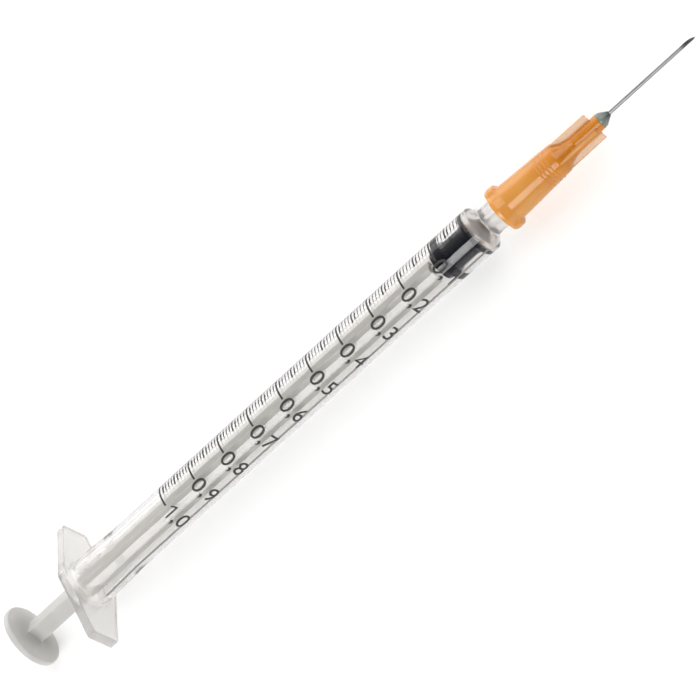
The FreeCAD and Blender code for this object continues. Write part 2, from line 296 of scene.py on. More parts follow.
def place_on_scale(tree):
    """Place of a shaded point along the scale, in millimetres from the zero mark."""
    spot = node(tree, "ShaderNodeTexCoord").outputs["Object"]
    x_place = node(tree, "ShaderNodeSeparateXYZ", {0: spot}).outputs[0]
    return maths(tree, "MULTIPLY", maths(tree, "SUBTRACT", x_place, zero_x), 1 / MM)


def axis_distance(tree):
    """Distance of a shaded point from the syringe's axis, in millimetres."""
    spot = node(tree, "ShaderNodeTexCoord").outputs["Object"]
    lowered = vector_maths(tree, "ADD", spot, (0.0, 0.0, -axis_height))
    across_axis = vector_maths(tree, "MULTIPLY", lowered, (0.0, 1 / MM, 1 / MM))
    return vector_maths(tree, "LENGTH", across_axis, result="Value")


def spread(tree, value, low, high, start=0.3, stop=0.7):
    """Value mapped from start..stop to low..high."""
    return node(tree, "ShaderNodeMapRange", {
        "Value": value, "From Min": start, "From Max": stop, "To Min": low, "To Max": high}).outputs[0]


def between(tree, value, start, full, end, gone, low=0.0):
    """Value that is 1 from full to end, 0 before start and low after gone, with ramps between."""
    return maths(tree, "MINIMUM", spread(tree, value, 0.0, 1.0, start, full),
                 spread(tree, value, 1.0, low, end, gone))


def tint(tree, value, first, second):
    """Colour between two, by a value from 0 to 1."""
    mixer = node(tree, "ShaderNodeMix", {"Factor": value}, data_type="RGBA")
    mixer.inputs["A"].default_value = (*first, 1)
    mixer.inputs["B"].default_value = (*second, 1)
    return mixer.outputs["Result"]


def bumps(tree, shader, height, distance):
    """Give a shader small bumps from a height of 0 to 1, with the real depth in metres."""
    bump = node(tree, "ShaderNodeBump", {"Height": height, "Distance": distance})
    tree.links.new(bump.outputs[0], shader.inputs["Normal"])

# %% [markdown]
# ### Clear plastic
# The barrel is polished clear plastic. It bends light, so it is a real transmission shader with
# the plastic's index of refraction. Long flow lines make its gloss uneven. A clear tube would
# throw an almost black shadow on the stopper inside it, because lamps can't be found through
# glass, so for shadow rays only, the shader is swapped for a transparent one.
#
# Not all of the barrel is clear. Its cone shoulder, its nozzle and its rear end with the flange
# are a little frosted, and the shoulder is thick, so it looks darker. The floor of the bore is
# milky, and clears up towards the channel, where the black nose of the stopper shows through.
# Masks could be painted by hand. Here they are worked out from a point's place on the scale and
# its distance from the axis, so they follow the shape by themselves.

# %% Masks for the frosted parts
clear_plastic, tree, shader = finish("clear_plastic", IOR=1.49)
scale_place, from_axis = place_on_scale(tree), axis_distance(tree)
shoulder = between(tree, scale_place, -0.2, 0.9, 1.0, 1.3, low=0.2)
front = maths(tree, "MAXIMUM", shoulder, spread(tree, scale_place, 0.0, 1.2, 1.8, 2.3))
rear = maths(tree, "MAXIMUM", spread(tree, scale_place, 1.0, 0.0, -74.8, -73.4),
             spread(tree, scale_place, 0.35, 0.0, -73.4, -66.0))
frost = maths(tree, "MAXIMUM", front, rear)
bore_floor = maths(tree, "MINIMUM", between(tree, from_axis, 0.7, 1.7, 2.2, 2.4),
                   between(tree, scale_place, 0.0, 0.3, 1.7, 1.9))
thick_shoulder = between(tree, scale_place, 0.0, 0.6, 1.9, 2.5)
print("masks for", clear_plastic.name, "made with", len(tree.nodes), "nodes")

# %% Clear plastic
flow = grain(tree, 900, stretch=(0.08, 1, 1), detail=2)
tree.links.new(maths(tree, "MULTIPLY_ADD", frost, 0.22, spread(tree, flow, 0.0, 0.05)),
               shader.inputs["Roughness"])
clear_share = maths(tree, "MULTIPLY_ADD", front, -0.16, spread(tree, rear, 1.0, 0.8, 0.0, 1.0))
tree.links.new(maths(tree, "MULTIPLY_ADD", bore_floor, -0.22, clear_share),
               shader.inputs["Transmission Weight"])
depth = maths(tree, "MULTIPLY_ADD", thick_shoulder, 0.75, maths(tree, "MULTIPLY", frost, 0.2))
tree.links.new(tint(tree, depth, (0.83, 0.816, 0.803), (0.70, 0.665, 0.64)), shader.inputs["Base Color"])
bumps(tree, shader, flow, 0.000004)
lamp_path = node(tree, "ShaderNodeLightPath").outputs["Is Shadow Ray"]
pass_through = node(tree, "ShaderNodeBsdfTransparent", {"Color": (0.82, 0.82, 0.82, 1)})
swap = node(tree, "ShaderNodeMixShader", {0: lamp_path, 1: shader.outputs[0], 2: pass_through.outputs[0]})
tree.links.new(swap.outputs[0], tree.nodes["Material Output"].inputs["Surface"])

# %% [markdown]
# ### Milky plastic
# The plunger rod is a satin, milky plastic. Light goes a millimetre into it and comes out again,
# which softens every edge, so it has subsurface scattering. On the thumb disc, shade is painted into
# the colour: it gets darker towards the rod's foot, where the rod shades it, and stays lighter at its rim.

# %% Milky plastic
milky_plastic, tree, shader = finish(
    "milky_plastic", Subsurface_Weight=0.5, Subsurface_Scale=0.001, IOR=1.5)
shader.inputs["Subsurface Radius"].default_value = (1.0, 0.95, 0.9)
cloud = grain(tree, 260, detail=4)
milk = tint(tree, spread(tree, cloud, 0, 1), (0.47, 0.465, 0.446), (0.535, 0.53, 0.51))
on_disc = spread(tree, place_on_scale(tree), 1.0, 0.0, -86.1, -85.8)
# Painted shade: the disc's colour darkens towards the rod's foot, where the rod shades it
painted_foot_shade = spread(tree, axis_distance(tree), -0.30, 0.0, 1.6, 4.0)
shade = maths(tree, "MULTIPLY_ADD", on_disc, painted_foot_shade, 1.0)
shaded = node(tree, "ShaderNodeVectorMath", {0: milk, "Scale": shade}, operation="SCALE")
tree.links.new(shaded.outputs[0], shader.inputs["Base Color"])
tree.links.new(spread(tree, cloud, 0.28, 0.42), shader.inputs["Roughness"])
bumps(tree, shader, grain(tree, 5000, detail=2), 0.000004)

# %% [markdown]
# ### Black rubber
# The stopper is black rubber with a film of silicone oil, so it is darker than it is dull.

# %% Black rubber
black_rubber, tree, shader = finish("black_rubber", IOR=1.5, Specular_IOR_Level=0.04)
wear = grain(tree, 1500, detail=5)
tree.links.new(tint(tree, spread(tree, wear, 0, 1), (0.002, 0.003, 0.006), (0.004, 0.005, 0.011)),
               shader.inputs["Base Color"])
tree.links.new(spread(tree, wear, 0.3, 0.5), shader.inputs["Roughness"])
bumps(tree, shader, wear, 0.000006)

# %% [markdown]
# ### Orange plastic
# The hub is orange and lets light through. Its hollow end is paler than its solid neck, because
# light crosses less plastic there.

# %% Orange plastic
orange_plastic, tree, shader = finish(
    "orange_plastic", Subsurface_Weight=0.35, Subsurface_Scale=0.0012, IOR=1.49, Transmission_Weight=0.30)
shader.inputs["Subsurface Radius"].default_value = (1.0, 0.55, 0.2)
cloud = grain(tree, 240, detail=3)
hollow = spread(tree, place_on_scale(tree), 0.8, 0.0, 9.0, 15.5)
tree.links.new(tint(tree, maths(tree, "MULTIPLY_ADD", cloud, 0.2, hollow),
                    (0.695, 0.255, 0.016), (0.89, 0.42, 0.1)), shader.inputs["Base Color"])
tree.links.new(spread(tree, cloud, 0.112, 0.175), shader.inputs["Roughness"])
bumps(tree, shader, grain(tree, 3000, stretch=(0.2, 1, 1), detail=2), 0.000003)

# %% [markdown]
# ### Thin orange plastic
# The fins are a third of a millimetre thick, and over the white ground they look almost pink.
# Bending light through such a thin blade gives ragged edges, so the fins are a see-through layer
# instead. Its Alpha grows at the root and at the rim, where the eye looks through more plastic.

# %% Thin orange plastic
thin_orange, tree, shader = finish("thin_orange_plastic", IOR=1.49, Specular_IOR_Level=0.2)
from_axis = axis_distance(tree)
thick = maths(tree, "MAXIMUM", spread(tree, from_axis, 1.0, 0.0, 1.05, 1.45),
              spread(tree, from_axis, 0.0, 0.5, 2.11, 2.15))
tree.links.new(tint(tree, thick, (0.78, 0.45, 0.17), (0.66, 0.27, 0.04)), shader.inputs["Base Color"])
tree.links.new(spread(tree, thick, 0.45, 0.95, 0.0, 1.0), shader.inputs["Alpha"])
tree.links.new(spread(tree, grain(tree, 240), 0.08, 0.16), shader.inputs["Roughness"])

# %% [markdown]
# ### Needle steel, adhesive and ink
# The needle is drawn through a die, which leaves lines along it. Its ground point is painted darker
# than the tube, a painted reflection of the dim room that the bevel mirrors. The adhesive is a
# grey-green glassy drop, and it darkens where it thins out over the steel. The ink is nearly black
# and not quite even.

# %% Needle steel
needle_steel, tree, shader = finish("needle_steel", Metallic=1.0)
lines = grain(tree, 9000, stretch=(0.02, 1, 1), detail=3)
# Painted reflection: the point's colour is darkened to stand in for the dim room it mirrors
painted_dark_point = spread(tree, place_on_scale(tree), 1.0, 0.25, 35.6, 36.3)
tree.links.new(tint(tree, maths(tree, "MULTIPLY", spread(tree, lines, 0.7, 1), painted_dark_point),
                    (0.01, 0.01, 0.01), (0.32, 0.32, 0.325)), shader.inputs["Base Color"])
tree.links.new(spread(tree, lines, 0.22, 0.38), shader.inputs["Roughness"])
bumps(tree, shader, lines, 0.000002)

# %% Adhesive
adhesive, tree, shader = finish("adhesive", IOR=1.5, Subsurface_Weight=0.3, Subsurface_Scale=0.0004)
thinning = spread(tree, place_on_scale(tree), 0, 1, 22.6, 23.4)
tree.links.new(tint(tree, thinning, (0.19, 0.225, 0.195), (0.05, 0.06, 0.055)), shader.inputs["Base Color"])
tree.links.new(spread(tree, grain(tree, 2500), 0.12, 0.3), shader.inputs["Roughness"])

# %% Ink
scale_ink, tree, shader = finish("scale_ink", IOR=1.45)
cover = grain(tree, 6000, detail=4)
tree.links.new(tint(tree, spread(tree, cover, 0, 1), (0.018, 0.016, 0.015), (0.05, 0.046, 0.044)),
               shader.inputs["Base Color"])
tree.links.new(spread(tree, cover, 0.4, 0.65), shader.inputs["Roughness"])
print("finishes", sorted(material.name for material in bpy.data.materials))

# %% [markdown]
# ## Barrel
# One moulding: a tube with a nozzle in front and a finger flange behind. The outline goes once
# round the wall, first along the outside from the nozzle's tip to the flange and then back along
# the inside, past the ring that stops the plunger. The flange's two outer corners have reach 1,
# so the tree pulls them out to the hexagon, which lies on the table with one slanting side.

# %% Barrel
barrel_radius = 3.3
bore_radius = 2.365
flange_half_length, flange_width, flange_end_width = 10.1, 10.1, 4.46
flange_slope = math.atan((flange_width - flange_end_width) / 2 / flange_half_length)
flange_drawn = flange_width / 2
barrel_outline = [
    (nozzle_tip_place, 0.62, 0.06), (nozzle_tip_place, 1.86, 0.15), (2.04, 2.10, 0.30),
    (0.97, barrel_radius, 0.30),
    (-66.6, barrel_radius, 8.0), (-72.2, 3.59, 8.0), (-74.6, 3.59, 0.45),
    (-74.6, flange_drawn, 0.2, 1), (-76.0, flange_drawn, 0.2, 1), (-76.0, 3.795, 0.1),
    (-75.05, 2.845, 0.3), (-72.0, 2.43, 1.0), (-70.4, 2.42, 1.0), (-68.9, 2.32, 0.3), (-68.5, 2.32, 0.3),
    (-66.9, bore_radius, 0.6), (0.12, bore_radius, 0.1), (1.678, 0.62, 0.3)]
barrel = turned("barrel_shell", barrel_outline, clear_plastic, closed_outline=True, segments=384,
                drawn_radius=flange_drawn * MM, side_distance=axis_height,
                side_slope=flange_slope, end_distance=flange_half_length * MM,
                corner_softness=0.95 * MM, turn=math.pi - flange_slope)
settle(barrel, "barrel", "clear_plastic", "barrel")

# %% [markdown]
# ## Stopper
# The black rubber plug has a lip in front, a lip behind and a waist between them. Its nose is
# a cone that fits the barrel's end. The outline starts and ends on the axis, and on its way it
# goes into the snap pocket that holds the rod. Its lips are 0.004 mm larger than the bore,
# because rubber is pressed against the wall and no air is left between them. That matters for
# the looks: where rubber touches clear plastic the barrel's whole width turns black, and where
# there is a film of air, as at the waist, the bright ground shows past it.

# %% Stopper
lip_radius = bore_radius + 0.004
stopper = turned("stopper_rubber", [
    (1.11, 0), (1.11, 1.1, 0.25), (0, lip_radius, 0.12), (-0.7, lip_radius, 0.12), (-1.5, 2.055, 0.15),
    (-4.05, 2.055, 0.15), (-4.5, lip_radius, 0.12), (-5.7, lip_radius, 0.12), (-6.65, 1.995, 0.2),
    (-6.65, 0.90, 0.08), (-5.5, 0.90, 0.03), (-5.5, 1.35, 0.05), (-4.9, 1.35, 0.05),
    (-3.1, 0.75, 0.05), (-3.1, 0)], black_rubber, segments=160)
settle(stopper, "stopper", "black_rubber", "stopper")

# %% [markdown]
# ## Plunger rod
# A square bar with a snap head in front and a domed thumb disc behind. The bar is the second
# piece that uses the rule: its rings have reach 1, and a slope of zero turns the hexagon into
# a square with soft corners.

# %% Plunger rod
half_bar = 1.26
rod = turned("plunger_rod_bar", [
    (-3.15, 0), (-3.15, 0.7, 0.1), (-4.95, 1.3, 0.1), (-5.45, 1.3, 0.08), (-5.45, 0.85, 0.03),
    (-7.55, 0.85, 0.05), (-7.55, half_bar, 0.15, 1), (-85.95, half_bar, 0.12, 1), (-86.02, 1.95, 0.5),
    (-86.45, 4.8, 0.3), (-87.4, 4.8, 0.3), (-87.4, 4.2, 0.1), (-87.2, 4.0, 0.1), (-87.2, 0)],
    milky_plastic, segments=256, drawn_radius=half_bar * MM, side_distance=half_bar * MM,
    end_distance=half_bar * MM, corner_softness=0.22 * MM, turn=math.radians(51))
settle(rod, "plunger", "milky_plastic", "plunger_rod")

# %% [markdown]
# ## Needle hub
# The hub's body is turned as well: a collar, a shoulder, a slightly tapered body with four fine
# rings, a waist and a slim neck. The inside is the tapered socket that grips the nozzle. The
# rings repeat along the outline, so a short loop writes their corners. The collar's corners have
# a reach, and with the polygon set to nothing only the lugs act on them: they push the collar
# out on two opposite sides, where a locking nozzle would hold it.

# %% Hub body
def hub_radius_at(x):
    """Outer radius of the hub's tapered body."""
    return 2.64 - 0.049 * (x - 5.9)


fine_rings = []
for number in range(4):
    middle = 12.0 + 0.55 * number
    fine_rings += [(middle - 0.12, hub_radius_at(middle - 0.12), 0.03),
                   (middle, hub_radius_at(middle) + 0.05, 0.04),
                   (middle + 0.12, hub_radius_at(middle + 0.12), 0.03)]
hub = turned("hub_body", [
    (4.4, 2.059, 0.06), (4.4, 2.93, 0.07, 0.8), (4.95, 2.97, 0.15, 1.0), (5.6, 2.80, 0.3, 1.4),
    (6.2, 2.62, 0.4), *fine_rings,
    (14.9, 2.199, 0.8), (16.0, 1.5, 2.0), (17.6, 1.14, 2.0), (22.0, 1.087, 0.1), (22.0, 0.265, 0.02),
    (12.89, 0.265, 0.05), (11.89, 1.8345, 0.1)], orange_plastic, closed_outline=True, segments=192,
    drawn_radius=0.0, side_distance=0.0, end_distance=0.0, turn=math.radians(31), lug_height=0.30 * MM)
settle(hub, "needle", "orange_plastic", "needle_hub")

# %% [markdown]
# ### Fins
# Four thin fins stand along the neck, so that fingers can grip the hub. Turning can't make them,
# since they are flat blades. One blade is modelled upright on the axis, with softened edges, and
# a second tree sets copies of it on a ring of points, each turned by an equal share of a full
# turn. With the count as an input, six fins would be one number away.

# %% The tree that copies round the axis
ring_tree, inlet, outlet = tree_with("copies_round_the_axis", {
    "Count": 2, "First angle": 0.0, "Axis height": 0.0})
points = node(ring_tree, "GeometryNodeMeshLine", {"Count": inlet.outputs["Count"], "Offset": (0, 0, 0)})
index = node(ring_tree, "GeometryNodeInputIndex").outputs[0]
step = maths(ring_tree, "DIVIDE", math.tau, inlet.outputs["Count"])
turn = maths(ring_tree, "MULTIPLY_ADD", index, step, inlet.outputs["First angle"])
rotation = node(ring_tree, "ShaderNodeCombineXYZ", {0: turn})
copies = node(ring_tree, "GeometryNodeInstanceOnPoints", {
    "Points": points.outputs[0], "Instance": inlet.outputs["Geometry"], "Rotation": rotation.outputs[0]})
lift = node(ring_tree, "ShaderNodeCombineXYZ", {2: inlet.outputs["Axis height"]})
raised = node(ring_tree, "GeometryNodeTransform",
              {"Geometry": copies.outputs[0], "Translation": lift.outputs[0]})
end_tree(ring_tree, inlet, outlet, raised.outputs[0])

# %% One fin, four times
def blade(name, outline, thickness):
    """Flat blade of an outline (place, radius) that stands on the axis, with a thickness."""
    mesh = bpy.data.meshes.new(name)
    work = bmesh.new()
    sides = [[work.verts.new((zero_x + x * MM, r * MM, half * MM)) for x, r in outline]
             for half in (-thickness / 2, thickness / 2)]
    count = len(outline)
    work.faces.new(sides[0])
    work.faces.new(sides[1][::-1])
    for i in range(count):
        work.faces.new((sides[0][i], sides[0][(i + 1) % count], sides[1][(i + 1) % count], sides[1][i]))
    bmesh.ops.recalc_face_normals(work, faces=work.faces)
    bmesh.ops.bevel(work, geom=list(work.edges), offset=0.05 * MM, segments=2, affect="EDGES", profile=0.5)
    work.to_mesh(mesh)
    work.free()
    piece = bpy.data.objects.new(name, mesh)
    bpy.context.scene.collection.objects.link(piece)
    return piece


fins = blade("hub_fins", [(14.62, 1.6), (14.62, 2.19), (21.0, 2.15), (21.0, 0.9), (17.8, 0.95),
                          (16.2, 1.2)], 0.32)
grow(fins, ring_tree, count=4, first_angle=math.radians(51), axis_height=axis_height, material=thin_orange)
settle(fins, "needle", "orange_plastic")

# %% [markdown]
# ## Needle tube
# A steel tube whose point is ground three times: one long bevel and two short facets that make
# the lancet. Cutting with booleans would work, but at this size it leaves slivers. Instead the
# tube's end is written down: for each angle, the wall ends where the nearest of the three planes
# cuts it, once for the outer radius and once for the inner one.

# %% Where the ground point ends the wall
needle_radius, needle_bore = 0.255, 0.13
needle_start, needle_straight_end = 12.89, 35.5


def bevel_end(angle, radius, tip, length, turned_by):
    """Place where a slanting plane cuts the tube's wall at an angle and a radius."""
    height = radius * math.cos(angle - turned_by)
    return tip - (height + needle_radius) * length / (2 * needle_radius)


def needle_ring(radius, end_of):
    """Ring of points round the tube, at the place that end_of gives for each angle."""
    return [(end_of(math.tau * k / 64, radius), radius, math.tau * k / 64) for k in range(64)]


tip_place, lancet_turn = 38.06, math.radians(38)
long_bevel, lancet_bevel = 2.1, 1.2
lancet_tip = tip_place + lancet_bevel * (1 - math.cos(lancet_turn)) / 2


def ground_end(angle, radius):
    """Place where the ground point ends the wall."""
    return min(bevel_end(angle, radius, tip_place, long_bevel, 0),
               bevel_end(angle, radius, lancet_tip, lancet_bevel, lancet_turn),
               bevel_end(angle, radius, lancet_tip, lancet_bevel, -lancet_turn))

print("needle ends at", ground_end(math.pi, needle_radius), "mm")

# %% Needle tube
rings = [needle_ring(needle_bore, ground_end),
         needle_ring(needle_radius, ground_end),
         needle_ring(needle_radius, lambda a, r: ground_end(a, r) - 0.02),
         needle_ring(needle_radius, lambda a, r: needle_straight_end),
         needle_ring(needle_radius, lambda a, r: needle_start + 0.06),
         needle_ring(needle_radius - 0.01, lambda a, r: needle_start),
         needle_ring(needle_bore, lambda a, r: needle_start),
         needle_ring(needle_bore, lambda a, r: needle_straight_end)]
work = bmesh.new()
wall = [[work.verts.new((zero_x + x * MM, -r * MM * math.sin(a), axis_height + r * MM * math.cos(a)))
         for x, r, a in ring] for ring in rings]
for ring, after in zip(wall, wall[1:] + wall[:1]):
    for i in range(64):
        work.faces.new((ring[i], ring[(i + 1) % 64], after[(i + 1) % 64], after[i]))
needle_mesh = bpy.data.meshes.new("needle_cannula")
work.to_mesh(needle_mesh)
work.free()
needle_mesh.materials.append(needle_steel)
needle = bpy.data.objects.new("needle_cannula", needle_mesh)
bpy.context.scene.collection.objects.link(needle)
settle(needle, "needle", "needle_steel", "needle_tube", crisp=40)

# %% [markdown]
# ## Adhesive
# A drop of adhesive fills the step between the hub's end and the needle. It is a turned shape
# with a short straight skirt and a long cone.

# %% Adhesive bead
bead = turned("adhesive_cone", [
    (22.002, 0.256, 0), (22.002, 1.04, 0.04), (22.3, 1.04, 0.15), (23.5, 0.295, 0.03), (23.5, 0.256, 0)],
    adhesive, closed_outline=True, segments=128)
settle(bead, "needle", "adhesive", "adhesive_bead")

# %% [markdown]
# ## Painted shadow line
# A thin grey line runs along the clear wall. It is shade: the barrel's own shadow seen through the
# wall. Here it is painted shade, a dark grey strip shaped like the hair of plastic that stands proud
# where the two halves of a mould meet. A bent curve with a depth could draw it. A thin section that
# follows the wall's outline and is taken a few degrees round the axis is as short to write, and it
# stays closed at both ends.

# %% A sector of a turned shape
def swept(name, outline, first, last, steps):
    """Closed sector of a turned shape: an outline (place, radius) taken through an angle about X."""
    mesh = bpy.data.meshes.new(name)
    work = bmesh.new()
    rings = []
    for number in range(steps + 1):
        angle = first + (last - first) * number / steps
        rings.append([work.verts.new((zero_x + x * MM, r * MM * math.cos(angle),
                                      axis_height + r * MM * math.sin(angle)))
                      for x, r in outline])
    count = len(outline)
    for ring, after in zip(rings, rings[1:]):
        for i in range(count):
            work.faces.new((ring[i], ring[(i + 1) % count], after[(i + 1) % count], after[i]))
    work.faces.new(rings[0])
    work.faces.new(rings[-1][::-1])
    work.to_mesh(mesh)
    work.free()
    piece = bpy.data.objects.new(name, mesh)
    bpy.context.scene.collection.objects.link(piece)
    return piece

# %% Painted shadow line
# Painted shade: a dark grey strip stands in for the barrel's shadow seen through its wall
painted_shadow_finish, tree, shader = finish("parting_line", Alpha=0.8, IOR=1.49)
wear = grain(tree, 1800, stretch=(0.1, 1, 1))
tree.links.new(tint(tree, spread(tree, wear, 0, 1), (0.20, 0.19, 0.18), (0.34, 0.33, 0.32)),
               shader.inputs["Base Color"])
tree.links.new(spread(tree, wear, 0.3, 0.5), shader.inputs["Roughness"])
line_middle, line_half = math.radians(171.5), math.radians(3.6)
section = [(-73.0, 3.57), (-73.0, 3.596), (-72.2, 3.596), (-66.6, 3.306), (0.4, 3.305),
           (0.4, 3.28), (-66.6, 3.28), (-72.2, 3.57)]
painted_shadow_strip = swept("parting_line", section, line_middle - line_half, line_middle + line_half, 6)
painted_shadow_strip.data.materials.append(painted_shadow_finish)
settle(painted_shadow_strip, "barrel", "clear_plastic")

# %% [markdown]
# ## Printed scale
# The scale has 101 marks: a short one each 0,01 ml, a bolder one each 0,05 ml and a long one
# each 0,1 ml. Copying marks by hand would be slow and hard to change, so a third tree does it:
# it makes three curved marks, sets them on a line of points, and picks the mark for each point
# by dividing its number by five and by ten. The ink is a real layer bent to the barrel, two
# hundredths of a millimetre thick and about half sunk into the plastic.

# %% The tree that prints marks
marks, inlet, outlet = tree_with("scale_marks", {
    "Count": 101, "Pitch": 1.0, "Ink radius": 1.0, "Ink depth": 0.1, "Outer angle": 1.0,
    "Short angle": 0.5, "Middle angle": 0.4, "Long angle": 0.1,
    "Short width": 0.1, "Middle width": 0.1, "Long width": 0.1, "Zero": 0.0, "Axis height": 0.0})


def mark_shape(inner_angle, width):
    """Curved mark round the axis, from an inner angle to the common outer one."""
    sweep = maths(marks, "SUBTRACT", inlet.outputs["Outer angle"], inlet.outputs[inner_angle])
    arc = node(marks, "GeometryNodeCurveArc", {
        "Resolution": 14, "Radius": inlet.outputs["Ink radius"],
        "Start Angle": inlet.outputs[inner_angle], "Sweep Angle": sweep})
    section = node(marks, "GeometryNodeCurvePrimitiveQuadrilateral", {
        "Width": inlet.outputs["Ink depth"], "Height": inlet.outputs[width]})
    mark = node(marks, "GeometryNodeCurveToMesh", {
        "Curve": arc.outputs[0], "Profile Curve": section.outputs[0], "Fill Caps": True})
    return node(marks, "GeometryNodeTransform",
                {"Geometry": mark.outputs[0], "Rotation": (0.0, math.radians(-90), 0.0)}).outputs[0]


backwards = node(marks, "ShaderNodeCombineXYZ", {0: maths(marks, "MULTIPLY", inlet.outputs["Pitch"], -1.0)})
start = node(marks, "ShaderNodeCombineXYZ", {0: inlet.outputs["Zero"], 2: inlet.outputs["Axis height"]})
line = node(marks, "GeometryNodeMeshLine", {
    "Count": inlet.outputs["Count"], "Start Location": start.outputs[0], "Offset": backwards.outputs[0]})
index = node(marks, "GeometryNodeInputIndex").outputs[0]
by_five = maths(marks, "COMPARE", maths(marks, "MODULO", index, 5.0), 0.0, 0.1)
by_ten = maths(marks, "COMPARE", maths(marks, "MODULO", index, 10.0), 0.0, 0.1)
kinds = {("Short angle", "Short width"): maths(marks, "SUBTRACT", 1.0, by_five),
         ("Middle angle", "Middle width"): maths(marks, "SUBTRACT", by_five, by_ten),
         ("Long angle", "Long width"): by_ten}
gathered = node(marks, "GeometryNodeJoinGeometry")
for (inner, width), chosen in kinds.items():
    placed = node(marks, "GeometryNodeInstanceOnPoints", {
        "Points": line.outputs[0], "Selection": chosen, "Instance": mark_shape(inner, width)})
    marks.links.new(placed.outputs[0], gathered.inputs[0])
end_tree(marks, inlet, outlet, gathered.outputs[0])

# %% Print the marks
# The viewer's side of the barrel is at facing, an angle from straight up towards +Y
facing = math.radians(-30.9)
division, ink_thickness, ink_over_barrel = 0.57, 0.02, 0.011
scale_marks = bpy.data.objects.new("scale_marks", bpy.data.meshes.new("scale_marks"))
bpy.context.scene.collection.objects.link(scale_marks)
grow(scale_marks, marks, pitch=division * MM, ink_depth=ink_thickness * MM,
     ink_radius=(barrel_radius + ink_over_barrel - ink_thickness / 2) * MM,
     outer_angle=facing + math.radians(104), short_angle=facing + math.radians(49),
     middle_angle=facing + math.radians(41), long_angle=facing + math.radians(16),
     short_width=0.115 * MM, middle_width=0.26 * MM, long_width=0.29 * MM,
     zero=zero_x, axis_height=axis_height, material=scale_ink)
settle(scale_marks, "barrel", "clear_plastic")

# %% [markdown]
# ### Numbers
# The numbers are text, turned into a mesh, cut into narrow strips and bent round the barrel.
# Bending a flat mesh only works if it has points to bend at, which is what the strips are for.
# Each sign is placed on its own, as a printing plate would do it, with a comma between digits.
# Two signs are special. The font draws a one as a plain bar, so the one and its flag are drawn by
# their corners. The four isn't widened, because the corners of its hole would cross.

# %% Signs as flat meshes
def flat_sign(sign):
    """Flat mesh of one sign in a bmesh, with strokes a little wider than the font draws them."""
    text = bpy.data.curves.new("sign", "FONT")
    text.body = sign
    text.resolution_u = 6
    text.offset = 0.0 if sign == "4" else 0.005
    holder = bpy.data.objects.new("sign", text)
    bpy.context.scene.collection.objects.link(holder)
    mesh = bpy.data.meshes.new_from_object(holder.evaluated_get(bpy.context.evaluated_depsgraph_get()))
    bpy.data.objects.remove(holder)
    work = bmesh.new()
    work.from_mesh(mesh)
    bmesh.ops.remove_doubles(work, verts=work.verts, dist=1e-5)
    return work


def flagged_one():
    """Flat mesh of a one with a flag, which the font draws as a plain bar."""
    high, low, half = digit_high, digit_low, (digit_high - digit_low) / 2
    corners = [(0.10, -1), (0.30, -1), (0.30, 1), (0.12, 1), (-0.40, 0.60), (-0.40, 0.36), (0.10, 0.72)]
    work = bmesh.new()
    work.faces.new([work.verts.new((x * half, (high + low) / 2 + y * half, 0)) for x, y in corners])
    return work


def extent(work, axis):
    """Lowest and highest coordinate of a bmesh on one axis."""
    values = [v.co[axis] for v in work.verts]
    return min(values), max(values)


zero_sign = flat_sign("0")
digit_low, digit_high = extent(zero_sign, 1)
digit_height = 2.35
digit_scale = digit_height / (digit_high - digit_low)
zero_left, zero_right = extent(zero_sign, 0)
print("a zero is", round((zero_right - zero_left) * digit_scale, 2), "mm wide")

# %% Bend the signs round the barrel
strip_width = 0.12


def print_sign(sheet, sign, mark_place, arc_place):
    """Add one sign to a sheet, centred at a place along the scale and an arc length round it."""
    work = flagged_one() if sign == "1" else flat_sign(sign)
    left, right = extent(work, 0)
    for v in work.verts:
        v.co.x = (v.co.x - (left + right) / 2) * digit_scale
        v.co.y = (v.co.y - (digit_low + digit_high) / 2) * digit_scale
    left, right = extent(work, 0)
    cut = left + strip_width
    while cut < right:
        bmesh.ops.bisect_plane(work, geom=list(work.verts) + list(work.edges) + list(work.faces),
                               plane_co=(cut, 0, 0), plane_no=(1, 0, 0))
        cut += strip_width
    bmesh.ops.dissolve_degenerate(work, dist=0.002, edges=work.edges)
    ink_radius = (barrel_radius + ink_over_barrel) * MM
    for v in work.verts:
        turned_by = (arc_place + v.co.x) / barrel_radius
        angle = facing - turned_by
        v.co = (zero_x + (mark_place + v.co.y) * MM, ink_radius * math.sin(angle),
                axis_height + ink_radius * math.cos(angle))
    mesh = bpy.data.meshes.new("sign")
    work.to_mesh(mesh)
    work.free()
    sheet.from_mesh(mesh)

# %% Print ten numbers
sheet = bmesh.new()
for tenth in range(1, 11):
    mark_place = -10 * division * tenth
    first, last = ("1", "0") if tenth == 10 else ("0", str(tenth))
    print_sign(sheet, first, mark_place, 0.04)
    print_sign(sheet, ",", mark_place, 1.2)
    print_sign(sheet, last, mark_place, 2.42)
bmesh.ops.recalc_face_normals(sheet, faces=sheet.faces)
number_mesh = bpy.data.meshes.new("scale_numbers")
sheet.to_mesh(number_mesh)
sheet.free()
number_mesh.materials.append(scale_ink)
numbers = bpy.data.objects.new("scale_numbers", number_mesh)
bpy.context.scene.collection.objects.link(numbers)
print("numbers", len(number_mesh.polygons), "faces before they get a depth")

# %% [markdown]
# The numbers are still a skin without a thickness. A Solidify modifier gives them the same depth
# of ink as the marks, growing inwards, so that they sit in the plastic's surface.

# %% Give the numbers their depth
outward = sum((f.normal.dot(f.center - Vector((f.center.x, 0, axis_height))) for f in number_mesh.polygons))
if outward < 0:
    number_mesh.flip_normals()
solid = numbers.modifiers.new("ink", "SOLIDIFY")
solid.thickness = ink_thickness * MM
solid.offset = -1
numbers.data = bpy.data.meshes.new_from_object(
    numbers.evaluated_get(bpy.context.evaluated_depsgraph_get()))
numbers.modifiers.clear()
settle(numbers, "barrel", "clear_plastic")

# %% [markdown]
# ## Camera
# The photograph was taken with a long lens from above, with the syringe leaning 20 degrees out
# of the picture's plane and turned 42 degrees in it. The three directions below are the syringe's
# axis as the camera sees it, the direction across it, and the direction to the camera.

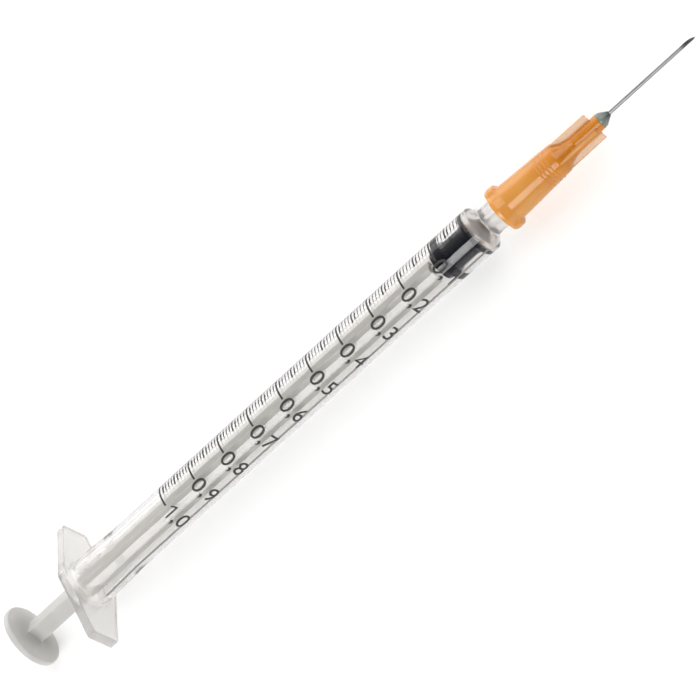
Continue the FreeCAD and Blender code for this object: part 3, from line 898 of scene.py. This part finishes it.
# %% Camera
lean, roll = math.radians(20.3325), math.radians(42.1432)
axis_x, to_viewer, below = Vector((1, 0, 0)), Vector((0, -0.514, 0.858)), Vector((0, -0.858, -0.514))
seen_axis = math.cos(lean) * axis_x - math.sin(lean) * to_viewer
back = math.cos(lean) * to_viewer + math.sin(lean) * axis_x
right = math.cos(roll) * seen_axis + math.sin(roll) * below
up = math.sin(roll) * seen_axis - math.cos(roll) * below
looks_at, looks_below, stands_off = -23.70, 0.217, 406.83
target = Vector((zero_x + looks_at * MM, 0, axis_height)) + looks_below * MM * below
camera_data = bpy.data.cameras.new("camera")
camera_data.sensor_width = 36
camera_data.lens = 159.43
camera_data.clip_start = 0.01
camera = bpy.data.objects.new("camera", camera_data)
turning_matrix = Matrix((right, up, back)).transposed().to_4x4()
camera.matrix_world = Matrix.Translation(target + back * stands_off * MM) @ turning_matrix
bpy.context.scene.collection.objects.link(camera)
bpy.context.scene.camera = camera
print("camera at", [round(c, 4) for c in camera.location])

# %% [markdown]
# ## Floor and light
# The photograph's ground is plain white. The floor is a large pale sheet that glows a little, as
# a light table does, so that it comes out white and the shadows on it stay faint. Clear plastic
# has no colour of its own and shows what is round it, so the lights are placed for it: a wide
# soft box behind makes one edge of the barrel bright, a long box beside the camera draws the
# stripe along the whole syringe, and the room is dim behind the camera, so that black rubber
# stays black. The strongest light stands towards the needle's end. The barrel's walls run along
# X, and from where the camera stands they can't mirror a lamp there, so it adds no second stripe.

# %% Floor
floor_finish, tree, shader = finish("pale_floor")
shader.inputs["Specular IOR Level"].default_value = 0.1
mottle = grain(tree, 12, detail=3)
tree.links.new(tint(tree, spread(tree, mottle, 0, 1), (0.68, 0.68, 0.68), (0.71, 0.71, 0.71)),
               shader.inputs["Base Color"])
shader.inputs["Emission Color"].default_value = (1, 1, 1, 1)
shader.inputs["Emission Strength"].default_value = 0.32
tree.links.new(spread(tree, mottle, 0.75, 0.85), shader.inputs["Roughness"])
floor_mesh = bpy.data.meshes.new("floor")
half_floor = 3.0
corners = [(x * half_floor, y * half_floor, 0) for x, y in ((-1, -1), (1, -1), (1, 1), (-1, 1))]
floor_mesh.from_pydata(corners, [], [(0, 1, 2, 3)])
floor_mesh.materials.append(floor_finish)
floor = bpy.data.objects.new("floor", floor_mesh)
bpy.context.scene.collection.objects.link(floor)
print("floor", round(floor.dimensions.x, 2), "m wide")

# %% A light as a soft box
def soft_box(name, direction, distance, size_along, size_across, power):
    """Area light that looks at the syringe from a direction, long side along the syringe."""
    lamp = bpy.data.lights.new(name, "AREA")
    lamp.shape = "RECTANGLE"
    lamp.size = size_along
    lamp.size_y = size_across
    lamp.energy = power
    box = bpy.data.objects.new(name, lamp)
    away = Vector(direction).normalized()
    side = (axis_x - away * axis_x.dot(away)).normalized()
    facing_matrix = Matrix((side, away.cross(side), away)).transposed().to_4x4()
    box.matrix_world = Matrix.Translation(away * distance) @ facing_matrix
    bpy.context.scene.collection.objects.link(box)

# %% Three lights and a dim room
soft_box("stripe_box", (-0.347, -0.700, 0.625), 0.6, 0.36, 0.38, 2.1)
soft_box("back_box", (0.0, 0.86, 0.5), 1.0, 1.4, 0.7, 4.7)
soft_box("top_box", (0.50, 0.14, 0.85), 1.1, 1.0, 1.0, 6.7)
world = bpy.data.worlds.new("room")
world.use_nodes = True
room = world.node_tree
direction = node(room, "ShaderNodeTexCoord").outputs["Generated"]
towards = vector_maths(room, "DOT_PRODUCT", direction, tuple(back), result="Value")
room.links.new(spread(room, towards, 1.0, 0.04, -0.1, 0.85), room.nodes["Background"].inputs["Strength"])
room.nodes["Background"].inputs["Color"].default_value = (1.0, 0.995, 0.985, 1)
bpy.context.scene.world = world
bpy.context.scene.view_settings.view_transform = "Standard"
